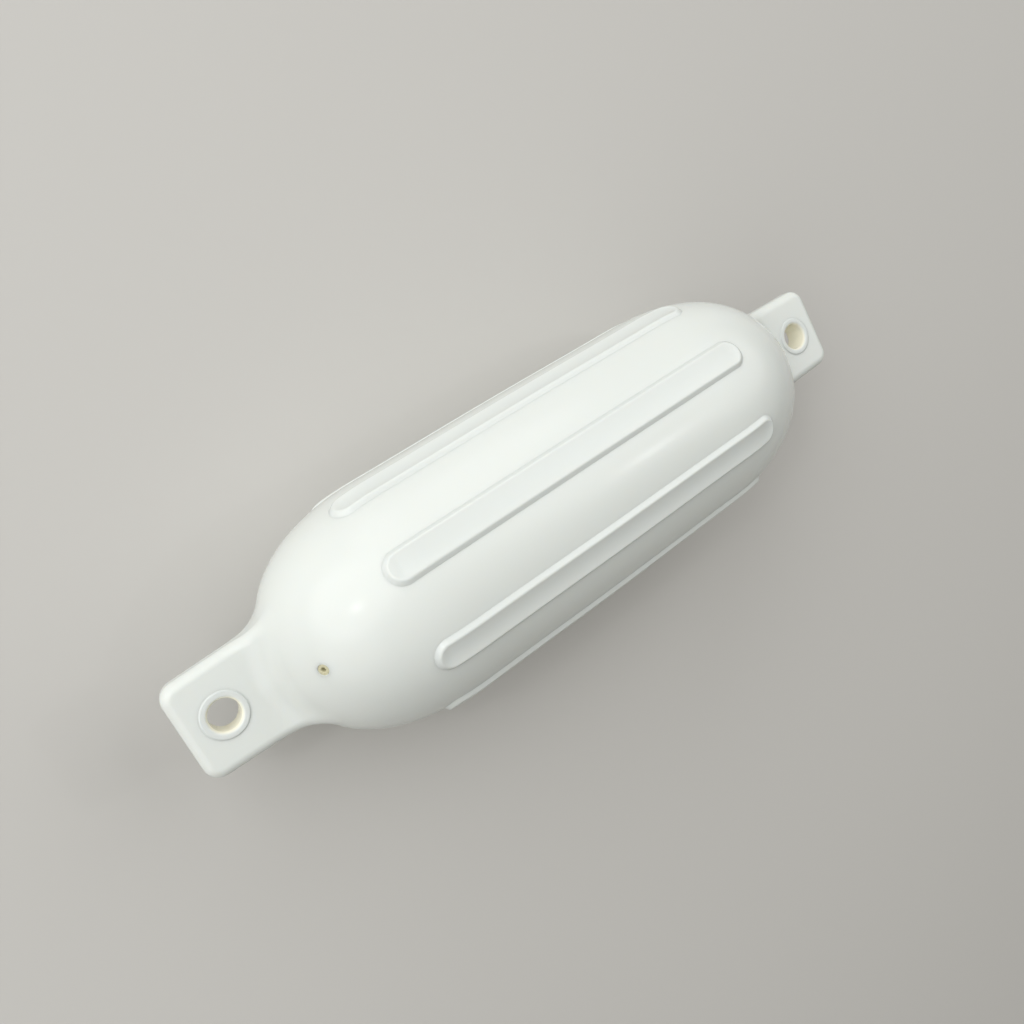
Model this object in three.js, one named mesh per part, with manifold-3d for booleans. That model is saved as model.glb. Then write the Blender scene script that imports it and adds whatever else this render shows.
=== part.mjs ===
// Boat fender: an inflatable vinyl bumper with lengthwise ribs and a flat rope eye at each end.
// It is one hollow moulding, and the rubber needle valve that is set in its dome.
// Millimetres. +X runs along the fender, away from the valve. +Z is square to the rope eyes.

import * as THREE from "three";
import { mergeVertices } from "three/addons/utils/BufferGeometryUtils.js";
import Module from "manifold-3d";

const wasm = await Module();
wasm.setup();

// Body: a slightly crowned barrel between two full domes
const bodyDiameter = 137.4;
const barrelLength = 193.4;
const barrelCrown = 0.5; // how much smaller the radius is where a dome begins
const domeLength = 94;
const domeFullness = 2.33; // 2 is an ellipse, and more is squarer
const wallThickness = 3.5;
const domeEndThickness = 8; // of the wall at the pole of each dome

// Ribs: raised strips with round ends, spaced evenly round the body
const ribCount = 8;
const ribWidth = 20.2; // at its foot
const ribHeight = 2.2;
const ribFootRadius = 0.5; // hollow fillet where a rib's side rises from the body
const ribSideLean = 52; // degrees between a rib's side and the body
const ribShoulderRadius = 2; // round edge between a rib's side and its face
const ribOverrun = 31.2; // how far a rib runs past the barrel onto each dome
const ribSink = 0.8; // how deep a rib's foot is joined into the wall

// Rope eyes: one flat tab on each dome
const tabReach = 54.2; // from the dome's pole to the tip
const tabTipWidth = 56;
const tabDraft = 0.03; // widening of each side for each millimetre away from the tip
const tabThickness = 15.6;
const tabCornerRadius = 9;
const tabEdgeRadius = 5.5;
const flareFromTip = 38; // where both faces begin to curve away from each other, towards the dome
const flareRadius = 32;
const flareLimit = 12; // the most that each face moves out, which is deep inside the dome
const neckFaceBlend = 11; // size of the hollow fillet between a dome and its tab's faces
const neckSideBlend = 8; // the same at the tab's narrow sides

// Rope holes, each with a low rounded boss on both faces
const holeDiameter = 17;
const holeFromTip = 22.8;
const holeRimRadius = 2;
const bossDiameter = 26.4;
const bossHeight = 0.6;
const bossLand = 0.8; // width of the flat ring on top

// Needle valve, square to the dome on the line through the middle of the eyes
const valveFromPole = 17; // along X, from the pole of the dome
const valveDiameter = 5.8;
const valveHeadDepth = 3.4; // from the dome's face down to the shoulder
const valveBulbDiameter = 9;
const valveBulbLength = 7;
const valveRecess = 0.6; // how far the valve's face lies below the dome
const valveGap = 0.3;
const needleDiameter = 2.2;
const needleDepth = 6.5;
const needleFlare = 0.7; // the cone that guides the needle in
const bulbChamfer = 0.8;
const seatDiameter = 16; // the thick part of the wall that the valve is set in

// Fineness of the facets, and where the sections of a dome, its neck and a tab's tip stand
const columnsPerQuarter = 12;
const roundSteps = 24;
const arcSteps = 3;
const domeShares = [0.18, 0.34, 0.48, 0.6, 0.7, 0.78]; // of the dome's length
const neckShares = [-1.7, -1.3, -0.9, -0.5, -0.15, 0.2, 0.5, 0.9, 1.35]; // of neckFaceBlend
const tipTurns = [0, 25, 45, 62, 78, 90]; // degrees round the tip's edge

const barrelHalf = barrelLength / 2;
const poleX = barrelHalf + domeLength;
const tipX = poleX + tabReach;
const eyeX = tipX - holeFromTip;
const degree = Math.PI / 180;

const vinyl = new THREE.MeshStandardMaterial({ color: 0xe9ebe4, roughness: 0.32 });
const creamRubber = new THREE.MeshStandardMaterial({ color: 0xd9d4b4, roughness: 0.55 });

// Radius of the barrel where it stands under x, with the crown eased in from the middle
function crownedRadius(x) {
  const along = Math.min(Math.abs(x) / barrelHalf, 1);
  return bodyDiameter / 2 - barrelCrown * (1 - Math.cos(along * Math.PI)) / 2;
}

// Radius of the body at x, or of its hollow when the wall's thicknesses are taken off
function bodyRadius(x, sideWall = 0, poleWall = 0) {
  const overDome = Math.max(Math.abs(x) - barrelHalf, 0) / (domeLength - poleWall);
  const left = Math.max(1 - overDome ** domeFullness, 0);
  return (crownedRadius(x) - sideWall) * left ** (1 / domeFullness);
}

// Above zero outside the bare body, below zero inside it, and close to a distance near its face
function outsideBody(x, y, z) {
  const radius = crownedRadius(x);
  const overDome = Math.max(Math.abs(x) - barrelHalf, 0) / domeLength;
  const across = Math.hypot(y, z) / radius;
  return radius * ((overDome ** domeFullness + across ** domeFullness) ** (1 / domeFullness) - 1);
}

// The same for a tab: a rounded outline with rounded edges, and faces that flare at the dome
function outsideTab(x, y, z) {
  const halfWidth = tabTipWidth / 2 + tabDraft * (tipX - Math.abs(x));
  const alongX = Math.abs(x) - (tipX - tabCornerRadius);
  const alongY = Math.abs(y) - (halfWidth - tabCornerRadius);
  const outline = Math.hypot(Math.max(alongX, 0), Math.max(alongY, 0))
    + Math.min(Math.max(alongX, alongY), 0) - tabCornerRadius;
  const intoFlare = Math.max(tipX - flareFromTip - Math.abs(x), 0);
  const flare = Math.min(intoFlare ** 2 / (2 * flareRadius), flareLimit);
  const inPlan = outline + tabEdgeRadius;
  const inThickness = Math.abs(z) - (tabThickness / 2 + flare - tabEdgeRadius);
  return Math.hypot(Math.max(inPlan, 0), Math.max(inThickness, 0))
    + Math.min(Math.max(inPlan, inThickness), 0) - tabEdgeRadius;
}

// Body and tabs together, with a soft hollow fillet where they meet
function outsideFender(x, y, z) {
  const body = outsideBody(x, y, z);
  const tab = outsideTab(x, y, z);
  const faceShare = z * z / (y * y + z * z);
  const blend = neckSideBlend + (neckFaceBlend - neckSideBlend) * faceShare;
  const nearness = Math.max(blend - Math.abs(body - tab), 0) / blend;
  return Math.min(body, tab) - nearness ** 2 * blend / 4;
}

// Distance from the axis to the fender's face at x, looking along angle from +Z towards +Y
function faceRadius(x, angle) {
  const zeroLevel = 1e-7;
  let inside = 0;
  let outside = bodyDiameter;
  for (let step = 0; step < 50; step += 1) {
    const middle = (inside + outside) / 2;
    const level = outsideFender(x, middle * Math.sin(angle), middle * Math.cos(angle));
    if (level > zeroLevel) outside = middle;
    else inside = middle;
  }
  return inside;
}

// One quarter of the looking angles for a tab's section: flat face, rounded edge, then side
function tabAngles() {
  const cornerY = tabTipWidth / 2 - tabEdgeRadius;
  const cornerZ = tabThickness / 2 - tabEdgeRadius;
  const sideSteps = 2;
  const flatSteps = columnsPerQuarter - arcSteps - sideSteps;
  const angles = [];
  for (let i = 0; i < flatSteps; i += 1) {
    angles.push(Math.atan2(cornerY * i / flatSteps, tabThickness / 2));
  }
  for (let i = 0; i <= arcSteps; i += 1) {
    const turn = i / arcSteps * 90 * degree;
    const y = cornerY + tabEdgeRadius * Math.sin(turn);
    const z = cornerZ + tabEdgeRadius * Math.cos(turn);
    angles.push(Math.atan2(y, z));
  }
  for (let i = 1; i < sideSteps; i += 1) {
    angles.push(Math.atan2(tabTipWidth / 2, cornerZ * (1 - i / sideSteps)));
  }
  return angles;
}

// The looking angles all round at x: even on the barrel, and a tab's own on the tab
function anglesAt(x) {
  const share = THREE.MathUtils.smoothstep(Math.abs(x), poleX - domeLength / 2, poleX);
  const quarter = tabAngles().map((tabAngle, i) => {
    const even = i / columnsPerQuarter * 90 * degree;
    return even + (tabAngle - even) * share;
  });
  const forward = [...quarter, 90 * degree];
  const half = [...forward, ...quarter.slice().reverse().map((angle) => 180 * degree - angle)];
  return [...half, ...half.slice(1, -1).map((angle) => angle + 180 * degree)];
}

// Stations along one half of the fender, from the middle to the tip
function stations() {
  const places = [0, 0.5, 1].map((share) => share * barrelHalf);
  for (const share of domeShares) places.push(barrelHalf + share * domeLength);
  for (const share of neckShares) places.push(poleX + share * neckFaceBlend);
  places.push(tipX - flareFromTip, tipX - tabCornerRadius);
  for (const turn of tipTurns) places.push(tipX - tabEdgeRadius * (1 - Math.sin(turn * degree)));
  return places;
}

// A closed geometry as a solid that can be joined and cut
function solidOf(geometry) {
  geometry.deleteAttribute("normal");
  geometry.deleteAttribute("uv");
  const merged = mergeVertices(geometry, 1e-4);
  const triangles = [];
  for (let i = 0; i < merged.index.count; i += 3) {
    const corners = [0, 1, 2].map((step) => merged.index.getX(i + step));
    if (new Set(corners).size === 3) triangles.push(...corners);
  }
  return new wasm.Manifold(new wasm.Mesh({
    numProp: 3,
    vertProperties: merged.attributes.position.array,
    triVerts: new Uint32Array(triangles),
  }));
}

// A skin through closed rings of points, each as long as the next; the first and last lie shut
function skin(rings) {
  const count = rings[0].length;
  const triangles = [];
  for (let row = 0; row < rings.length - 1; row += 1) {
    for (let i = 0; i < count; i += 1) {
      const here = row * count + i;
      const next = row * count + (i + 1) % count;
      triangles.push(here, here + count, next + count, here, next + count, next);
    }
  }
  const geometry = new THREE.BufferGeometry().setFromPoints(rings.flat());
  geometry.setIndex(triangles);
  return geometry;
}

// Body and both tabs in one skin
function makeOutside() {
  const half = stations();
  const places = [...half.slice(1).reverse().map((x) => -x), ...half];
  const rings = places.map((x) => anglesAt(x).map((angle) => {
    const radius = faceRadius(x, angle);
    return new THREE.Vector3(x, radius * Math.sin(angle), radius * Math.cos(angle));
  }));
  const shut = (x) => rings[0].map(() => new THREE.Vector3(x, 0, 0));
  return solidOf(skin([shut(-tipX), ...rings, shut(tipX)]));
}

// A rib's side from its foot to the edge of its face, as distances in from the foot and up
function ribSide() {
  const lean = ribSideLean * degree;
  const footIn = ribFootRadius * Math.sin(lean);
  const footUp = ribFootRadius * (1 - Math.cos(lean));
  const shoulderUp = ribHeight - ribShoulderRadius * (1 - Math.cos(lean));
  const faceIn = footIn + (shoulderUp - footUp) / Math.tan(lean) + ribShoulderRadius * Math.sin(lean);
  const side = [[0, 0], [footIn, footUp]];
  for (let i = 0; i <= arcSteps; i += 1) {
    const turn = lean * (1 - i / arcSteps);
    side.push([
      faceIn - ribShoulderRadius * Math.sin(turn),
      ribHeight - ribShoulderRadius * (1 - Math.cos(turn)),
    ]);
  }
  return side;
}

// One rib: rings that follow its outline, each further in and higher than the last
function makeRib(middleAngle) {
  const straight = barrelHalf + ribOverrun - ribWidth / 2;
  const endSteps = 6;
  const sideSteps = 4;
  const outline = [];
  for (const end of [1, -1]) {
    for (let i = 0; i <= endSteps; i += 1) {
      const turn = (0.5 - i / endSteps) * Math.PI;
      const alongX = end * Math.cos(turn);
      const acrossY = end * Math.sin(turn);
      outline.push({ x: end * straight, alongX, acrossY });
    }
    for (let i = 1; i < sideSteps; i += 1) {
      outline.push({ x: end * straight * (1 - 2 * i / sideSteps), alongX: 0, acrossY: -end });
    }
  }
  const ring = (inset, height) => outline.map(({ x, alongX, acrossY }) => {
    const reach = Math.max(ribWidth / 2 - inset, 0);
    const place = x + reach * alongX;
    const angle = middleAngle + reach * acrossY / bodyRadius(place);
    const radius = bodyRadius(place) + height;
    return new THREE.Vector3(place, radius * Math.sin(angle), radius * Math.cos(angle));
  });
  const rings = [ring(ribWidth / 2, -ribSink), ring(0, -ribSink)];
  for (const [inset, height] of ribSide()) rings.push(ring(inset, height));
  rings.push(ring(ribWidth / 2, ribHeight));
  return solidOf(skin(rings));
}

// Air space of the body, turned about X
function makeHollow() {
  const reach = poleX - domeEndThickness;
  const steps = 18;
  const profile = [];
  for (let i = 0; i <= steps; i += 1) {
    const x = -reach * Math.cos(i / steps * Math.PI);
    const radius = i % steps === 0 ? 0 : bodyRadius(x, wallThickness, domeEndThickness);
    profile.push(new THREE.Vector2(radius, x));
  }
  return solidOf(new THREE.LatheGeometry(profile, roundSteps).rotateZ(-90 * degree));
}

// The boss of one rope eye, as a rounded disc through the tab
function makeBoss(x) {
  const landEdge = holeDiameter / 2 + holeRimRadius + bossLand;
  const slope = bossDiameter / 2 - landEdge;
  const profile = [];
  for (let i = 0; i <= arcSteps; i += 1) {
    const turn = i / arcSteps * 90 * degree;
    profile.push([landEdge + slope * Math.sin(turn), tabThickness / 2 + bossHeight * Math.cos(turn)]);
  }
  return turned([[0, profile[0][1]], ...profile]).translate([x, 0, 0]);
}

// The cutter of one rope hole, which widens into a rounded rim at both faces
function makeHole(x) {
  const face = tabThickness / 2 + bossHeight;
  const clear = 2;
  const firstTurn = 10; // degrees, so that the rim ends in a crisp edge and not in a sliver
  const profile = [];
  for (let i = 0; i <= arcSteps; i += 1) {
    const turn = (firstTurn + i / arcSteps * (90 - firstTurn)) * degree;
    profile.push([
      holeDiameter / 2 + holeRimRadius * (1 - Math.sin(turn)),
      face - holeRimRadius * (1 - Math.cos(turn)),
    ]);
  }
  const mouth = profile[0][0];
  return turned([[0, face + clear], [mouth, face + clear], ...profile]).translate([x, 0, 0]);
}

// A solid turned about Z from the upper half of its profile, with the lower half its mirror
function turned(upper) {
  const lower = upper.map(([radius, z]) => [radius, -z]).reverse();
  const profile = [...upper, ...lower].reverse().map(([radius, z]) => new THREE.Vector2(radius, z));
  return solidOf(new THREE.LatheGeometry(profile, roundSteps).rotateX(90 * degree));
}

// Where the valve stands: its centre on the dome's face and its lean from +Z towards -X
function valvePlace() {
  const x = -(poleX - valveFromPole);
  const step = 0.01;
  const slope = (bodyRadius(x + step) - bodyRadius(x - step)) / (2 * step);
  return { position: new THREE.Vector3(x, 0, bodyRadius(x)), lean: -Math.atan(slope) };
}

// A plain profile turned about Z and set into the dome at the valve
function setIntoDome(profile) {
  const { position, lean } = valvePlace();
  const points = profile.map(([radius, z]) => new THREE.Vector2(radius, z));
  const geometry = new THREE.LatheGeometry(points, roundSteps).rotateX(90 * degree);
  return solidOf(geometry.rotateY(lean).translate(position.x, position.y, position.z));
}

// The thick seat on the inside of the wall, and the stepped bore that holds the valve
const seatDepth = valveHeadDepth + valveBulbLength;
const seatTop = -wallThickness / 2;

function makeSeat() {
  const radius = seatDiameter / 2;
  return setIntoDome([[0, -seatDepth], [radius, -seatDepth], [radius, seatTop], [0, seatTop]]);
}

function makeBore() {
  const throat = valveDiameter / 2 + valveGap;
  const chamber = valveBulbDiameter / 2 + valveGap;
  const shoulder = -valveHeadDepth;
  const clear = 1;
  return setIntoDome([
    [0, -seatDepth - clear], [chamber, -seatDepth - clear],
    [chamber, shoulder], [throat, shoulder],
    [throat, clear], [0, clear],
  ]);
}

// The hollow moulding: outside, ribs and bosses, less the air space and every hole
function makeFenderBody() {
  let solid = makeOutside();
  const ribSpacing = 360 / ribCount * degree;
  for (let i = 0; i < ribCount; i += 1) solid = solid.add(makeRib((i + 0.5) * ribSpacing));
  for (const x of [-eyeX, eyeX]) solid = solid.add(makeBoss(x)).subtract(makeHole(x));
  solid = solid.subtract(makeHollow()).add(makeSeat()).subtract(makeBore());
  const { vertProperties, triVerts } = solid.getMesh();
  const geometry = new THREE.BufferGeometry();
  geometry.setAttribute("position", new THREE.BufferAttribute(vertProperties, 3));
  geometry.setIndex(new THREE.BufferAttribute(triVerts, 1));
  geometry.computeVertexNormals();
  return new THREE.Mesh(geometry, vinyl);
}

// The valve: a head flush in the wall, a wider bulb behind it, and a blind hole for the needle
function makeInflationValve() {
  const head = valveDiameter / 2;
  const bulb = valveBulbDiameter / 2;
  const needle = needleDiameter / 2;
  const face = -valveRecess;
  const shoulder = -valveHeadDepth - valveGap;
  const foot = -seatDepth;
  const profile = [
    [0, foot], [bulb - bulbChamfer, foot], [bulb, foot + bulbChamfer],
    [bulb, shoulder], [head, shoulder], [head, face],
    [needle + needleFlare, face], [needle, face - needleFlare],
    [needle, face - needleDepth], [0, face - needleDepth],
  ].map(([radius, z]) => new THREE.Vector2(radius, z));
  const geometry = new THREE.LatheGeometry(profile, roundSteps).rotateX(90 * degree);
  const valve = new THREE.Mesh(geometry, creamRubber);
  const { position, lean } = valvePlace();
  valve.position.copy(position);
  valve.rotation.y = lean;
  return valve;
}

const fenderBody = makeFenderBody();
fenderBody.name = "fender_body";

const inflationValve = makeInflationValve();
inflationValve.name = "inflation_valve";

// The fender stands on its lowest line, so that line is at z = 0
const fender = new THREE.Group();
fender.name = "boat_fender";
fender.add(fenderBody, inflationValve);
fender.position.z = -new THREE.Box3().setFromObject(fenderBody, true).min.z;
fender.updateMatrixWorld(true);

export default fender;
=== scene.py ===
import math

import bmesh
import bpy
import numpy as np
from mathutils import Matrix, Vector


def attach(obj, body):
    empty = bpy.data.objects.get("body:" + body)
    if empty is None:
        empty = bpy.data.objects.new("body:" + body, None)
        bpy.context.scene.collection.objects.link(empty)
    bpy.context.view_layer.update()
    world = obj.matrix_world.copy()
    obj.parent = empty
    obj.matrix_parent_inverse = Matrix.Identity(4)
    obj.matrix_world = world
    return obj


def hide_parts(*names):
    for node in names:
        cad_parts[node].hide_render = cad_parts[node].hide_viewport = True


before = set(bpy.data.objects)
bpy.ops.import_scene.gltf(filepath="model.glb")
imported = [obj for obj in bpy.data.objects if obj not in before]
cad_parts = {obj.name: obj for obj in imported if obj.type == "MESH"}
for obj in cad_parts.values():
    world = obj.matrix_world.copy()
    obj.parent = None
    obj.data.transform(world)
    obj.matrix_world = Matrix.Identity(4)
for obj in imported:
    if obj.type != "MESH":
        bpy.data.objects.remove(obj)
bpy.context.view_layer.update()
mm = 0.001
print("stage: frame loaded")


# Camera, where the photograph was taken from
cameraValues = {
    "position": (-0.22236, 0.10922, 0.53921),
    "right": (0.77391, -0.46840, 0.42621),
    "up": (0.50949, 0.86024, 0.02027),
    "back": (-0.37614, 0.20147, 0.90440),
    "lens": 30.482,
    "sensor": 36.0,
    "nearest": 0.01,
}


def makeCamera(values):
    data = bpy.data.cameras.new("camera")
    data.lens = values["lens"]
    data.sensor_width = values["sensor"]
    data.clip_start = values["nearest"]
    camera = bpy.data.objects.new("camera", data)
    turn = Matrix((values["right"], values["up"], values["back"])).transposed().to_4x4()
    camera.matrix_world = Matrix.Translation(values["position"]) @ turn
    bpy.context.scene.collection.objects.link(camera)
    bpy.context.scene.camera = camera


makeCamera(cameraValues)
print("stage: camera")


# A number in a node tree that can be added, multiplied and so on
class Formula:
    def __init__(self, tree, socket):
        self.tree = tree
        self.socket = socket

    def made(self, operation, *values):
        node = self.tree.nodes.new("ShaderNodeMath")
        node.operation = operation
        for place, value in enumerate(values):
            if isinstance(value, Formula):
                self.tree.links.new(value.socket, node.inputs[place])
            else:
                node.inputs[place].default_value = value
        return Formula(self.tree, node.outputs[0])

    def __add__(self, other):
        return self.made("ADD", self, other)

    def __sub__(self, other):
        return self.made("SUBTRACT", self, other)

    def __rsub__(self, other):
        return self.made("SUBTRACT", other, self)

    def __mul__(self, other):
        return self.made("MULTIPLY", self, other)

    def __truediv__(self, other):
        return self.made("DIVIDE", self, other)

    def __rtruediv__(self, other):
        return self.made("DIVIDE", other, self)

    def __pow__(self, other):
        return self.made("POWER", self, other)

    def __abs__(self):
        return self.made("ABSOLUTE", self)

    def atLeast(self, other):
        return self.made("MAXIMUM", self, other)

    def atMost(self, other):
        return self.made("MINIMUM", self, other)

    def above(self, other):
        return self.made("GREATER_THAN", self, other)

    def sine(self):
        return self.made("SINE", self)

    def cosine(self):
        return self.made("COSINE", self)


def length(a, b):
    return (a * a + b * b) ** 0.5


# A geometry tree with named inputs: returns the tree, its input node and its input values
def newTree(name, inputs):
    tree = bpy.data.node_groups.new(name, "GeometryNodeTree")
    tree.interface.new_socket("Geometry", in_out="INPUT", socket_type="NodeSocketGeometry")
    for label, value in inputs.items():
        kind = "NodeSocketInt" if isinstance(value, int) else "NodeSocketFloat"
        tree.interface.new_socket(label, in_out="INPUT", socket_type=kind)
    tree.interface.new_socket("Material", in_out="INPUT", socket_type="NodeSocketMaterial")
    tree.interface.new_socket("Geometry", in_out="OUTPUT", socket_type="NodeSocketGeometry")
    entry = tree.nodes.new("NodeGroupInput")
    sizes = {label: Formula(tree, entry.outputs[label]) for label in inputs}
    return tree, entry, sizes


def addNode(tree, kind, links=None, **settings):
    node = tree.nodes.new(kind)
    for key, value in settings.items():
        setattr(node, key, value)
    for label, value in (links or {}).items():
        if isinstance(value, Formula):
            value = value.socket
        if isinstance(value, bpy.types.NodeSocket):
            tree.links.new(value, node.inputs[label])
        else:
            node.inputs[label].default_value = value
    return node


def splitVector(tree, vector):
    parts = addNode(tree, "ShaderNodeSeparateXYZ", {0: vector})
    return [Formula(tree, socket) for socket in parts.outputs]


def finishTree(tree, entry, geometry):
    realized = addNode(tree, "GeometryNodeRealizeInstances", {"Geometry": geometry})
    dressed = addNode(tree, "GeometryNodeSetMaterial", {
        "Geometry": realized.outputs[0], "Material": entry.outputs["Material"]})
    tree.links.new(dressed.outputs[0], addNode(tree, "NodeGroupOutput").inputs[0])


# An object's mesh with its modifiers applied
def evaluatedMesh(thing):
    graph = bpy.context.evaluated_depsgraph_get()
    return bpy.data.meshes.new_from_object(thing.evaluated_get(graph))


# Runs a tree on a mesh with its inputs set, and returns the result as a plain mesh
def plainMesh(tree, mesh, inputs, material):
    holder = bpy.data.objects.new(tree.name, mesh)
    bpy.context.scene.collection.objects.link(holder)
    modifier = holder.modifiers.new("shape", "NODES")
    modifier.node_group = tree
    values = {**inputs, "Material": material}
    for item in tree.interface.items_tree:
        if item.in_out == "INPUT" and item.name in values:
            modifier[item.identifier] = values[item.name]
    result = evaluatedMesh(holder)
    bpy.data.objects.remove(holder)
    return result


def cut(mesh, cutter):
    body = bpy.data.objects.new("cut", mesh)
    tool = bpy.data.objects.new("cutter", cutter)
    for thing in (body, tool):
        bpy.context.scene.collection.objects.link(thing)
    modifier = body.modifiers.new("cut", "BOOLEAN")
    modifier.operation = "DIFFERENCE"
    modifier.solver = "EXACT"
    modifier.object = tool
    result = evaluatedMesh(body)
    for thing in (body, tool):
        bpy.data.objects.remove(thing)
    return result


def placed(mesh, matrix):
    mesh = mesh.copy()
    mesh.transform(matrix)
    return mesh


def meshOf(name, points, faces):
    mesh = bpy.data.meshes.new(name)
    mesh.from_pydata([tuple(point) for point in points], [], faces)
    mesh.validate()
    return mesh


def ringFaces(rows, count, closed=False):
    faces = []
    for row in range(rows if closed else rows - 1):
        below = row * count
        above = (row + 1) % rows * count
        for i in range(count):
            after = (i + 1) % count
            faces.append((below + i, above + i, above + after, below + after))
    return faces


# Merges points that lie together, and turns the faces outwards where that is asked
def cleaned(mesh, outward=True):
    work = bmesh.new()
    work.from_mesh(mesh)
    bmesh.ops.remove_doubles(work, verts=work.verts, dist=0.002 * mm)
    if outward:
        bmesh.ops.recalc_face_normals(work, faces=work.faces)
    work.to_mesh(mesh)
    work.free()
    return mesh


# A closed solid turned about Z; a profile that doesn't start on the axis is a ring
def lathed(name, profile, steps=96):
    closed = profile[0][0] > 0
    points = []
    for radius, z in profile:
        for i in range(steps):
            turn = (i + 0.5) / steps * math.tau  # half a step round, so no point is on Y = 0
            points.append((
                radius * math.cos(turn) * mm, radius * math.sin(turn) * mm, z * mm))
    return cleaned(meshOf(name, points, ringFaces(len(profile), steps, closed)))


# Points along an arc from one angle to another, in degrees
def arcPoints(centreR, centreZ, radius, first, last, steps):
    turns = np.radians(np.linspace(first, last, steps + 1))
    return [(centreR + radius * math.cos(t), centreZ + radius * math.sin(t)) for t in turns]


# Sizes of the body and its two tabs, in millimetres
bodyValues = {
    "diameter": 137.4,
    "barrelLength": 193.4,
    "barrelCrown": 0.5,
    "domeLength": 94.0,
    "domeFullness": 2.33,
}
tabValues = {
    "reach": 54.2,
    "tipWidth": 56.0,
    "draft": 0.03,
    "thickness": 15.6,
    "cornerRadius": 9.0,
    "edgeRadius": 5.5,
    "flareFromTip": 38.0,
    "flareRadius": 32.0,
    "flareLimit": 12.0,
    "neckFaceBlend": 11.0,
    "neckSideBlend": 8.0,
}
barrelHalf = bodyValues["barrelLength"] / 2
poleX = barrelHalf + bodyValues["domeLength"]
tipX = poleX + tabValues["reach"]
axisHeight = bodyValues["diameter"] / 2


# The radius where the barrel stands under x, with its crown eased in from the middle
def crownedRadius(x, sizes):
    along = (abs(x) / sizes["Barrel Half"]).atMost(1)
    return sizes["Body Radius"] - sizes["Barrel Crown"] * (1 - (along * math.pi).cosine()) * 0.5


def pastBarrel(x, sizes):
    return (abs(x) - sizes["Barrel Half"]).atLeast(0) / sizes["Dome Length"]


# Above zero outside the bare body, below zero inside it
def outsideBody(x, radius, sizes):
    barrel = crownedRadius(x, sizes)
    fullness = sizes["Dome Fullness"]
    reach = pastBarrel(x, sizes) ** fullness + (radius / barrel) ** fullness
    return barrel * (reach ** (1 / fullness) - 1)


# Above zero outside a shape that is round where both distances are above zero
def rounded(first, second, radius):
    outer = length(first.atLeast(0), second.atLeast(0))
    return outer + first.made("MAXIMUM", first, second).atMost(0) - radius


def outsideTab(x, y, z, sizes):
    halfWidth = sizes["Tab Half Width"] + sizes["Tab Draft"] * (sizes["Tip"] - abs(x))
    corner = sizes["Corner Radius"]
    outline = rounded(
        abs(x) - (sizes["Tip"] - corner), abs(y) - (halfWidth - corner), corner)
    edge = sizes["Edge Radius"]
    intoFlare = (sizes["Flare Start"] - abs(x)).atLeast(0)
    flare = (intoFlare * intoFlare / (sizes["Flare Radius"] * 2)).atMost(sizes["Flare Limit"])
    return rounded(
        outline + edge, abs(z) - (sizes["Tab Half Thickness"] + flare - edge), edge)


# Body and tab together, with a hollow fillet where they meet, wider on the faces
def outsideFender(x, y, z, radius, sizes):
    body = outsideBody(x, radius, sizes)
    tab = outsideTab(x, y, z, sizes)
    sideBlend = sizes["Side Blend"]
    blend = sideBlend + (sizes["Face Blend"] - sideBlend) * (z * z / (radius * radius))
    nearness = (blend - abs(body - tab)).atLeast(0) / blend
    return body.atMost(tab) - nearness * nearness * blend * 0.25


# Pushes each point of a tube of unit radius out or in along its own ray, to the fender's face
def makeSkinTree(inputs, halvings):
    tree, entry, sizes = newTree("fender_skin", inputs)
    place = addNode(tree, "GeometryNodeInputPosition").outputs[0]
    x, sideways, upward = splitVector(tree, place)
    start = addNode(tree, "ShaderNodeCombineXYZ", {0: 0.0, 1: sizes["Body Radius"] * 2})
    begun = addNode(tree, "GeometryNodeStoreNamedAttribute", {
        "Geometry": entry.outputs["Geometry"], "Name": "bracket", "Value": start.outputs[0]},
        data_type="FLOAT_VECTOR")
    zoneIn = addNode(tree, "GeometryNodeRepeatInput")
    zoneOut = addNode(tree, "GeometryNodeRepeatOutput")
    zoneIn.pair_with_output(zoneOut)
    zoneIn.inputs["Iterations"].default_value = halvings
    tree.links.new(begun.outputs[0], zoneIn.inputs["Geometry"])
    bracket = addNode(
        tree, "GeometryNodeInputNamedAttribute", {"Name": "bracket"}, data_type="FLOAT_VECTOR")
    inside, outside, _ = splitVector(tree, bracket.outputs[0])
    middle = (inside + outside) * 0.5
    isOut = outsideFender(x, middle * sideways, middle * upward, middle, sizes).above(0)
    narrowed = addNode(tree, "ShaderNodeCombineXYZ", {
        0: middle + (inside - middle) * isOut, 1: outside + (middle - outside) * isOut})
    stored = addNode(tree, "GeometryNodeStoreNamedAttribute", {
        "Geometry": zoneIn.outputs["Geometry"], "Name": "bracket", "Value": narrowed.outputs[0]},
        data_type="FLOAT_VECTOR")
    tree.links.new(stored.outputs[0], zoneOut.inputs["Geometry"])
    face = addNode(tree, "ShaderNodeCombineXYZ", {
        0: x, 1: inside * sideways, 2: inside * upward})
    moved = addNode(tree, "GeometryNodeSetPosition", {
        "Geometry": zoneOut.outputs["Geometry"], "Position": face.outputs[0]})
    plain = addNode(tree, "GeometryNodeRemoveAttribute", {
        "Geometry": moved.outputs[0], "Name": "bracket"})
    finishTree(tree, entry, plain.outputs[0])
    return tree


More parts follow.
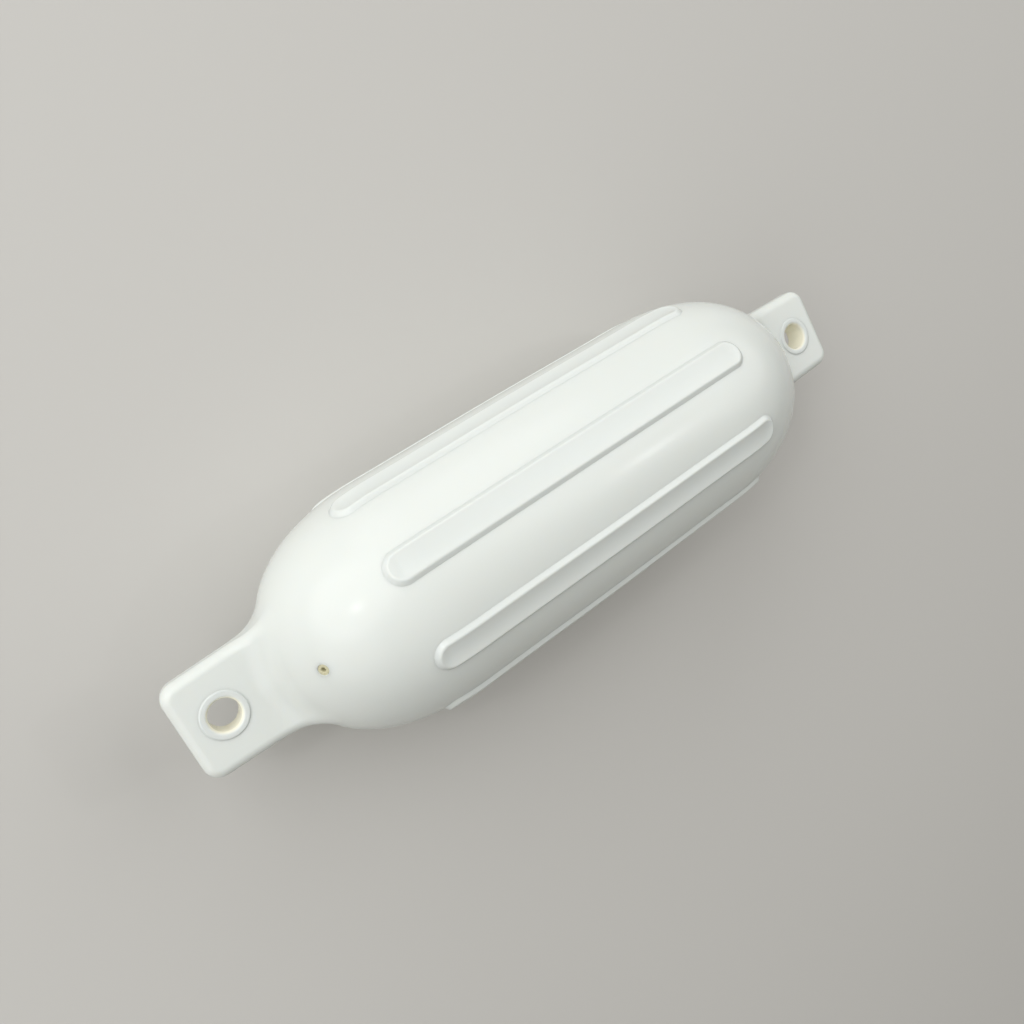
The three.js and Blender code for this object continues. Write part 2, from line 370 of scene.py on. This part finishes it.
# Places along one half of the fender, in millimetres, closer where it curves more
def halfPlaces():
    blend = tabValues["neckFaceBlend"]
    neckStart, bendStart, bendEnd, neckEnd = -1.9, -0.7, 0.7, 1.35  # blends from the pole
    dome = bodyValues["domeLength"]
    domeEnd = math.asin((dome + neckStart * blend) / dome)
    corner = tabValues["cornerRadius"]
    edge = tabValues["edgeRadius"]
    flareStart = tipX - tabValues["flareFromTip"]
    parts = [
        np.linspace(0, barrelHalf, 13),
        barrelHalf + dome * np.sin(np.linspace(0, domeEnd, 37)[1:]),
        poleX + np.linspace(neckStart, bendStart, 13)[1:] * blend,
        poleX + np.linspace(bendStart, bendEnd, 41)[1:] * blend,
        poleX + np.linspace(bendEnd, neckEnd, 11)[1:] * blend,
        np.linspace(poleX + neckEnd * blend, flareStart, 3)[1:],
        np.linspace(flareStart, tipX - corner, 8)[1:],
        np.linspace(tipX - corner, tipX - edge, 5)[1:],
        tipX - edge * (1 - np.sin(np.linspace(0, math.pi / 2, 21)[1:])),
    ]
    return np.concatenate(parts)


# Looking angles all round, even on the barrel, and crowded at the tab's edges on the tab
def lookingAngles(place, steps):
    arcSteps = steps // 4
    sideSteps = steps // 8
    flatSteps = steps - arcSteps - sideSteps
    edge = tabValues["edgeRadius"]
    thickHalf = tabValues["thickness"] / 2
    cornerY = tabValues["tipWidth"] / 2 - edge
    cornerZ = thickHalf - edge
    arc = np.linspace(0, math.pi / 2, arcSteps + 1)
    sideZ = cornerZ * (1 - np.arange(1, sideSteps) / sideSteps)
    onTab = np.concatenate([
        np.arctan2(cornerY * np.arange(flatSteps) / flatSteps, thickHalf),
        np.arctan2(cornerY + edge * np.sin(arc), cornerZ + edge * np.cos(arc)),
        np.arctan2(cornerY + edge, sideZ),
    ])
    even = np.arange(steps) / steps * math.pi / 2
    start = poleX - bodyValues["domeLength"] / 2
    share = min(max((abs(place) - start) / (poleX - start), 0), 1)
    share = share * share * (3 - 2 * share)
    quarter = even + (onTab - even) * share
    half = np.concatenate([quarter, [math.pi / 2], math.pi - quarter[::-1]])
    return np.concatenate([half[:-1], half[:-1] + math.pi])


# A tube of unit radius along X that is shut at both ends
def makeTube(quarterSteps):
    half = halfPlaces()
    places = np.concatenate([-half[:0:-1], half])
    points = []
    for place in places:
        angles = lookingAngles(place, quarterSteps)
        for angle in angles:
            points.append((place * mm, math.sin(angle), math.cos(angle)))
    count = len(angles)
    faces = ringFaces(len(places), count)
    for end, first in ((-1, 0), (1, (len(places) - 1) * count)):
        centre = len(points)
        points.append((end * tipX * mm, 0, 0))
        for i in range(count):
            pair = (first + i, first + (i + 1) % count)
            faces.append((*pair[::-end], centre))
    return meshOf("tube", points, faces)


# Sizes of the ribs, in millimetres
ribValues = {
    "count": 8,
    "width": 20.2,  # at its foot
    "height": 2.2,
    "footRadius": 0.8,
    "sideLean": 43.0,  # degrees between its side and the body
    "shoulderRadius": 1.6,
    "overrun": 31.2,  # past the barrel onto each dome
    "dish": 0.9,  # how far the middle of its face lies below the edges
    "tuck": 0.02,  # how far its foot lies under the body's face
    "sink": 0.8,
}


# Wraps a flat rib onto the body, and repeats it evenly round the X axis
def makeRibTree(inputs):
    tree, entry, sizes = newTree("fender_ribs", inputs)
    place = addNode(tree, "GeometryNodeInputPosition").outputs[0]
    x, across, height = splitVector(tree, place)
    fullness = sizes["Dome Fullness"]
    left = 1 - pastBarrel(x, sizes) ** fullness
    bare = crownedRadius(x, sizes) * left ** (1 / fullness)
    angle = across / bare
    radius = bare + height
    wrapped = addNode(tree, "ShaderNodeCombineXYZ", {
        0: x, 1: radius * angle.sine(), 2: radius * angle.cosine()})
    rib = addNode(tree, "GeometryNodeSetPosition", {
        "Geometry": entry.outputs["Geometry"], "Position": wrapped.outputs[0]})
    points = addNode(tree, "GeometryNodePoints", {"Count": sizes["Rib Count"]})
    index = Formula(tree, addNode(tree, "GeometryNodeInputIndex").outputs[0])
    turn = addNode(tree, "ShaderNodeCombineXYZ", {
        0: (index + 0.5) * math.tau / sizes["Rib Count"]})
    copies = addNode(tree, "GeometryNodeInstanceOnPoints", {
        "Points": points.outputs[0], "Instance": rib.outputs[0], "Rotation": turn.outputs[0]})
    finishTree(tree, entry, copies.outputs[0])
    return tree


# A rib's side from its foot to the edge of its face, as distances in from the foot and up
def ribSide(values):
    lean = math.radians(values["sideLean"])
    height = values["height"]
    foot = values["footRadius"]
    shoulder = values["shoulderRadius"]
    shoulderUp = height - shoulder * (1 - math.cos(lean))
    footUp = foot * (1 - math.cos(lean))
    shoulderIn = foot * math.sin(lean) + (shoulderUp - footUp) / math.tan(lean)
    faceIn = shoulderIn + shoulder * math.sin(lean)
    side = [(foot * math.sin(turn), foot * (1 - math.cos(turn)))
            for turn in np.linspace(0, lean, 5)]
    intoDish = math.atan(2 * values["dish"] / (values["width"] / 2 - faceIn))
    for turn in np.linspace(lean, -intoDish, 11):
        side.append((
            faceIn - shoulder * math.sin(turn), height - shoulder * (1 - math.cos(turn))))
    return side


# One rib laid flat: X along it, Y across it and Z its height above the body
def makeFlatRib(values):
    half = values["width"] / 2
    straight = barrelHalf + values["overrun"] - half
    side = np.concatenate([
        np.linspace(straight, barrelHalf, 8)[1:], np.linspace(barrelHalf, 0, 9)[1:]])
    side = np.concatenate([side, -side[-2::-1]])
    outline = []
    for end in (1, -1):
        for turn in np.linspace(math.pi / 2, -math.pi / 2, 25):
            outline.append((end * straight, end * math.cos(turn), end * math.sin(turn)))
        outline += [(end * place, 0, -end) for place in side]
    rings = [(half, -values["sink"]), (0, -values["sink"])]
    rings += [(inset, height - values["tuck"]) for inset, height in ribSide(values)]
    edge, top = rings[-1]
    for share in np.linspace(0, 1, 9)[1:]:
        dip = values["dish"] * (1 - (1 - share) ** 2)
        rings.append((edge + (half - edge) * share, top - dip))
    points = []
    for inset, height in rings:
        reach = half - inset
        for place, alongX, acrossY in outline:
            points.append(((place + reach * alongX) * mm, reach * acrossY * mm, height * mm))
    mesh = meshOf("flat_rib", points, ringFaces(len(rings), len(outline)))
    return cleaned(mesh, outward=False)


# Sizes of the rope holes and the low swelling round each, in millimetres
eyeValues = {
    "hole": 17.0,
    "fromTip": 22.8,
    "rim": 2.0,
    "boss": 26.4,
    "height": 0.6,
    "shoulder": 1.0,
    "foot": 0.8,
    "tuck": 0.01,  # how far its foot lies under the tab's face
    "skirt": (0.3, 0.03),  # how far its hidden edge goes out and down
    "sink": 2.0,
    "cutReach": 20.0,
}
eyeX = tipX - eyeValues["fromTip"]


# The lining of one rope hole, with its rounded rims and the low flat swelling round it
def makeEyeRing(values):
    hole = values["hole"] / 2
    rim = values["rim"]
    boss = values["boss"] / 2
    shoulder = values["shoulder"]
    foot = values["foot"]
    skirtOut, skirtDown = values["skirt"]
    flat = tabValues["thickness"] / 2
    top = flat + values["height"]
    turn = math.degrees(math.acos((shoulder + foot - values["height"]) / (shoulder + foot)))
    reach = (shoulder + foot) * math.sin(math.radians(turn))
    upper = arcPoints(hole + rim, top - rim, rim, 180, 90, 10)
    upper += arcPoints(boss - reach, top - shoulder, shoulder, 90, 90 - turn, 5)
    upper += arcPoints(boss, flat + foot - values["tuck"], foot, 270 - turn, 270, 4)
    upper += [(boss + skirtOut, flat - skirtDown), (boss, flat - values["sink"])]
    lower = [(radius, -z) for radius, z in reversed(upper)]
    return lathed("eye_ring", upper + lower)


# What is cut from the tab for that lining, half way between its hole and its outside
def makeBore(values):
    radius = (values["hole"] + values["boss"]) / 4
    reach = values["cutReach"]
    return lathed("bore", [(0, -reach), (radius, -reach), (radius, reach), (0, reach)])


# Sizes of the valve and its seat in the dome, in millimetres, down from the dome's face
valveValues = {
    "fromPole": 17.0,
    "throat": 6.0,
    "throatRim": 0.6,
    "rim": 8.8,
    "rimDrops": (0.24, 0.15, 0.1),  # at its outer edge, just inside it and at the throat
    "rimEdge": 0.35,
    "depth": 4.0,
    "cutRoom": 0.3,
    "head": 5.96,
    "headEdge": 0.35,
    "recess": 0.4,
    "length": 9.0,
    "needle": 2.2,
    "needleDepth": 5.5,
    "flare": 0.8,
}


# The rounded rim in the dome that the valve sits in
def makeValveSeat(values):
    throat = values["throat"] / 2
    throatRim = values["throatRim"]
    rim = values["rim"] / 2
    depth = values["depth"]
    outerDrop, innerDrop, throatDrop = values["rimDrops"]
    profile = [(rim, -outerDrop), (rim - values["rimEdge"], -innerDrop)]
    profile += arcPoints(throat + throatRim, -throatRim - throatDrop, throatRim, 90, 180, 6)
    profile += [(throat, -depth), (rim, -depth)]
    return lathed("valve_seat", profile, steps=64)


# What is cut from the dome for that seat
def makeThroat(values):
    radius = values["throat"] / 2 + values["cutRoom"]
    depth = values["depth"]
    return lathed("throat", [(0, -depth), (radius, -depth), (radius, depth), (0, depth)])


def makeValve(values):
    head = values["head"] / 2
    edge = values["headEdge"]
    needle = values["needle"] / 2
    face = -values["recess"]
    flare = values["flare"]
    profile = [(0, face - values["needleDepth"]), (needle, face - values["needleDepth"])]
    profile += arcPoints(needle + flare, face - flare, flare, 180, 90, 6)
    profile += arcPoints(head - edge, face - edge, edge, 90, 0, 4)
    profile += [(head, face - values["length"]), (0, face - values["length"])]
    return lathed("valve", profile, steps=64)


def bareRadius(place):
    over = max(abs(place) - barrelHalf, 0) / bodyValues["domeLength"]
    fullness = bodyValues["domeFullness"]
    radius = bodyValues["diameter"] / 2 - bodyValues["barrelCrown"]
    return radius * (1 - over ** fullness) ** (1 / fullness)


# From the valve's own frame, whose +Z leaves the dome, to the fender's
def valveTurn():
    place = -(poleX - valveValues["fromPole"])
    step = 0.01
    slope = (bareRadius(place + step) - bareRadius(place - step)) / (2 * step)
    spot = Vector((place, 0, bareRadius(place))) * mm
    return Matrix.Translation(spot) @ Matrix.Rotation(-math.atan(slope), 4, "Y")


# Shader nodes of a new material
class Shading:
    def __init__(self, name):
        self.material = bpy.data.materials.new(name)
        self.material.use_nodes = True
        self.tree = self.material.node_tree
        self.shader = self.tree.nodes["Principled BSDF"]

    def add(self, kind, links=None, **settings):
        return addNode(self.tree, kind, links, **settings)

    def place(self):
        return self.add("ShaderNodeTexCoord").outputs["Object"]

    def noise(self, scale, detail):
        spread = self.add("ShaderNodeMapping", {"Vector": self.place(), "Scale": scale})
        texture = self.add("ShaderNodeTexNoise", {
            "Vector": spread.outputs[0], "Scale": 1.0, "Detail": detail})
        return Formula(self.tree, texture.outputs[0])

    def ramp(self, value, low, high, fromLow=0.3, fromHigh=0.7):
        node = self.add("ShaderNodeMapRange", {
            "Value": value, "From Min": fromLow, "From Max": fromHigh,
            "To Min": low, "To Max": high})
        return Formula(self.tree, node.outputs[0])

    def mix(self, share, first, second):
        node = self.add("ShaderNodeMix", data_type="RGBA")
        self.tree.links.new(share.socket, node.inputs[0])
        for place, colour in ((6, first), (7, second)):  # its colour inputs A and B
            if isinstance(colour, bpy.types.NodeSocket):
                self.tree.links.new(colour, node.inputs[place])
            else:
                node.inputs[place].default_value = (*colour, 1)
        return node.outputs[2]

    def set(self, label, value):
        if isinstance(value, Formula):
            value = value.socket
        if isinstance(value, bpy.types.NodeSocket):
            self.tree.links.new(value, self.shader.inputs[label])
        else:
            self.shader.inputs[label].default_value = value

    def bump(self, height, strength, distance):
        node = self.add("ShaderNodeBump", {
            "Height": height, "Strength": strength, "Distance": distance * mm})
        self.set("Normal", node.outputs[0])


# The white vinyl, a little cloudy, with a soft waxy sheen, and cream painted light glowing
# inside the rope holes
vinylValues = {
    "colour": (0.765, 0.80, 0.77),
    "warmer": (0.757, 0.785, 0.745),
    "warmShare": 0.35,
    # The cream inside the rope holes is painted light: light glowing through the vinyl and
    # bouncing between the holes' walls
    "paintedHoleGlow": (0.93, 0.905, 0.76),
    "paintedGlowFade": (0.2, 1.5),  # millimetres from the hole's wall where that colour fades
    "roughness": (0.17, 0.23),
    "streakRoughness": (-0.015, 0.02),
    "refraction": 1.5,
    "shine": 0.27,
    "glow": 0.15,
    "glowReach": (0.005, 0.004, 0.003),
    "cloudScale": (9, 14, 14),
    "streakScale": (7, 70, 70),
    "rippleScale": (60, 90, 90),
    "bumpStrength": 0.10,
    "bumpDepth": 0.2,
}


def makeVinyl(values):
    shading = Shading("white_vinyl")
    x, y, _ = splitVector(shading.tree, shading.place())
    clouds = shading.noise(values["cloudScale"], 2)
    streaks = shading.noise(values["streakScale"], 2)
    body = shading.mix(
        shading.ramp(clouds, 0, values["warmShare"]), values["colour"], values["warmer"])
    # Painted light: the holes' walls turn cream for light glowing through the vinyl and bounced
    # inside them
    fromEye = length(abs(x) - eyeX * mm, y)
    hole = eyeValues["hole"] / 2
    fadeStart, fadeEnd = [(hole + fade) * mm for fade in values["paintedGlowFade"]]
    paintedGlowShare = shading.ramp(fromEye, 1, 0, fadeStart, fadeEnd)
    shading.set("Base Color", shading.mix(paintedGlowShare, body, values["paintedHoleGlow"]))
    shading.set("Roughness", shading.ramp(clouds, *values["roughness"])
                + shading.ramp(streaks, *values["streakRoughness"]))
    shading.set("IOR", values["refraction"])
    shading.set("Specular IOR Level", values["shine"])
    shading.set("Subsurface Weight", values["glow"])
    shading.set("Subsurface Radius", values["glowReach"])
    shading.set("Subsurface Scale", 1.0)
    ripples = shading.noise(values["rippleScale"], 1)
    shading.bump(ripples + streaks * 0.5, values["bumpStrength"], values["bumpDepth"])
    return shading.material


# The valve's cream rubber, finely speckled
rubberValues = {
    "colour": (0.66, 0.63, 0.43),
    "darker": (0.52, 0.49, 0.32),
    "darkShare": 0.6,
    "roughness": (0.42, 0.6),
    "speckScale": (900, 900, 900),
    "bumpStrength": 0.25,
    "bumpDepth": 0.1,
}


def makeRubber(values):
    shading = Shading("cream_rubber")
    specks = shading.noise(values["speckScale"], 3)
    shading.set("Base Color", shading.mix(
        shading.ramp(specks, 0, values["darkShare"]), values["colour"], values["darker"]))
    shading.set("Roughness", shading.ramp(specks, *values["roughness"]))
    shading.bump(specks, values["bumpStrength"], values["bumpDepth"])
    return shading.material


vinyl = makeVinyl(vinylValues)
rubber = makeRubber(rubberValues)
print("stage: materials")


# How finely the pieces are made, and from what angle up an edge is left crisp
detailValues = {
    "quarterSteps": 56,
    "halvings": 26,
    "crispAngle": 32,
}


# Several meshes as one object, lifted to the fender's height, smooth but for its crisp edges
def makePiece(name, meshes, material):
    work = bmesh.new()
    for mesh in meshes:
        work.from_mesh(mesh)
    joined = bpy.data.meshes.new(name)
    work.to_mesh(joined)
    work.free()
    joined.transform(Matrix.Translation((0, 0, axisHeight * mm)))
    joined.materials.clear()
    joined.materials.append(material)
    joined.polygons.foreach_set("material_index", [0] * len(joined.polygons))
    joined.polygons.foreach_set("use_smooth", [True] * len(joined.polygons))
    joined.set_sharp_from_angle(angle=math.radians(detailValues["crispAngle"]))
    piece = bpy.data.objects.new(name, joined)
    bpy.context.scene.collection.objects.link(piece)
    joined.calc_loop_triangles()
    print("stage:", name, len(joined.loop_triangles), "triangles")
    return piece


formInputs = {
    "Body Radius": bodyValues["diameter"] / 2 * mm,
    "Barrel Half": barrelHalf * mm,
    "Barrel Crown": bodyValues["barrelCrown"] * mm,
    "Dome Length": bodyValues["domeLength"] * mm,
    "Dome Fullness": bodyValues["domeFullness"],
}
tabInputs = {
    "Tip": tipX * mm,
    "Tab Half Width": tabValues["tipWidth"] / 2 * mm,
    "Tab Draft": tabValues["draft"],
    "Tab Half Thickness": tabValues["thickness"] / 2 * mm,
    "Corner Radius": tabValues["cornerRadius"] * mm,
    "Edge Radius": tabValues["edgeRadius"] * mm,
    "Flare Start": (tipX - tabValues["flareFromTip"]) * mm,
    "Flare Radius": tabValues["flareRadius"] * mm,
    "Flare Limit": tabValues["flareLimit"] * mm,
    "Face Blend": tabValues["neckFaceBlend"] * mm,
    "Side Blend": tabValues["neckSideBlend"] * mm,
}
skinInputs = {**formInputs, **tabInputs}
ribInputs = {**formInputs, "Rib Count": ribValues["count"]}

skinTree = makeSkinTree(skinInputs, detailValues["halvings"])
skin = plainMesh(skinTree, makeTube(detailValues["quarterSteps"]), skinInputs, vinyl)
print("stage: skin")
ribs = plainMesh(makeRibTree(ribInputs), makeFlatRib(ribValues), ribInputs, vinyl)
print("stage: ribs")

bore = makeBore(eyeValues)
eyeRing = makeEyeRing(eyeValues)
eyeRings = []
for end in (-1, 1):
    spot = Matrix.Translation((end * eyeX * mm, 0, 0))
    skin = cut(skin, placed(bore, spot))
    eyeRings.append(placed(eyeRing, spot))
skin = cut(skin, placed(makeThroat(valveValues), valveTurn()))
valveSeat = placed(makeValveSeat(valveValues), valveTurn())
print("stage: holes")

moulding = makePiece("moulding", [skin, ribs, *eyeRings, valveSeat], vinyl)
valve = makePiece("needle_valve", [placed(makeValve(valveValues), valveTurn())], rubber)
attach(moulding, "root")
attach(valve, "root")
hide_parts("fender_body")
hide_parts("inflation_valve")


# A plain pale floor, soft light from the upper left of the picture, and a pale surround
studioValues = {
    "floor": (0.56, 0.55, 0.525),
    "floorRoughness": 0.85,
    "floorSize": 3.2,
    "surround": (0.80, 0.81, 0.83),
    "surroundLight": (0.118, 0.112, 0.095),
}
lightValues = {
    "key": {"place": (-1.30, 1.26, 1.66), "size": 3.0, "power": 48.0},
    "left": {"place": (-1.92, -0.45, 1.45), "size": 2.2, "power": 12.5},
    "right": {"place": (1.62, 0.50, 1.77), "size": 2.6, "power": 22.0},
    "side": {"place": (0.40, 2.25, 0.80), "size": 1.8, "power": 11.5},
    "lamp": {"place": (-0.69, 0.47, 1.01), "size": 0.12, "power": 0.7},
    "strip": {"place": (0.65, -0.10, 1.08), "size": 0.04, "power": 0.42},
}


def makeFloor(values):
    half = values["floorSize"] / 2
    corners = [(-half, -half, 0), (half, -half, 0), (half, half, 0), (-half, half, 0)]
    floor = bpy.data.objects.new("floor", meshOf("floor", corners, [(0, 1, 2, 3)]))
    shading = Shading("pale_floor")
    shading.set("Base Color", (*values["floor"], 1))
    shading.set("Roughness", values["floorRoughness"])
    floor.data.materials.append(shading.material)
    bpy.context.scene.collection.objects.link(floor)


# A round light that faces the middle of the fender
def makeLight(name, place, size, power):
    data = bpy.data.lights.new(name, "AREA")
    data.shape = "DISK"
    data.size = size
    data.energy = power
    light = bpy.data.objects.new(name, data)
    light.location = place
    toFender = Vector((0, 0, axisHeight * mm)) - Vector(place)
    light.rotation_euler = toFender.to_track_quat("-Z", "Y").to_euler()
    bpy.context.scene.collection.objects.link(light)


# The surround gives a dim even light, and the camera sees it pale
def makeSurround(values):
    world = bpy.data.worlds.new("surround")
    bpy.context.scene.world = world
    world.use_nodes = True
    tree = world.node_tree
    lit = tree.nodes["Background"]
    lit.inputs["Color"].default_value = (*values["surroundLight"], 1)
    lit.inputs["Strength"].default_value = 1.0
    seen = addNode(tree, "ShaderNodeBackground", {
        "Color": (*values["surround"], 1), "Strength": 1.0})
    ray = addNode(tree, "ShaderNodeLightPath")
    mixed = addNode(tree, "ShaderNodeMixShader", {
        0: ray.outputs["Is Camera Ray"], 1: lit.outputs[0], 2: seen.outputs[0]})
    tree.links.new(mixed.outputs[0], tree.nodes["World Output"].inputs[0])


makeFloor(studioValues)
for name, values in lightValues.items():
    makeLight(name, **values)
makeSurround(studioValues)
bpy.context.scene.view_settings.view_transform = "Standard"
print("stage: studio")
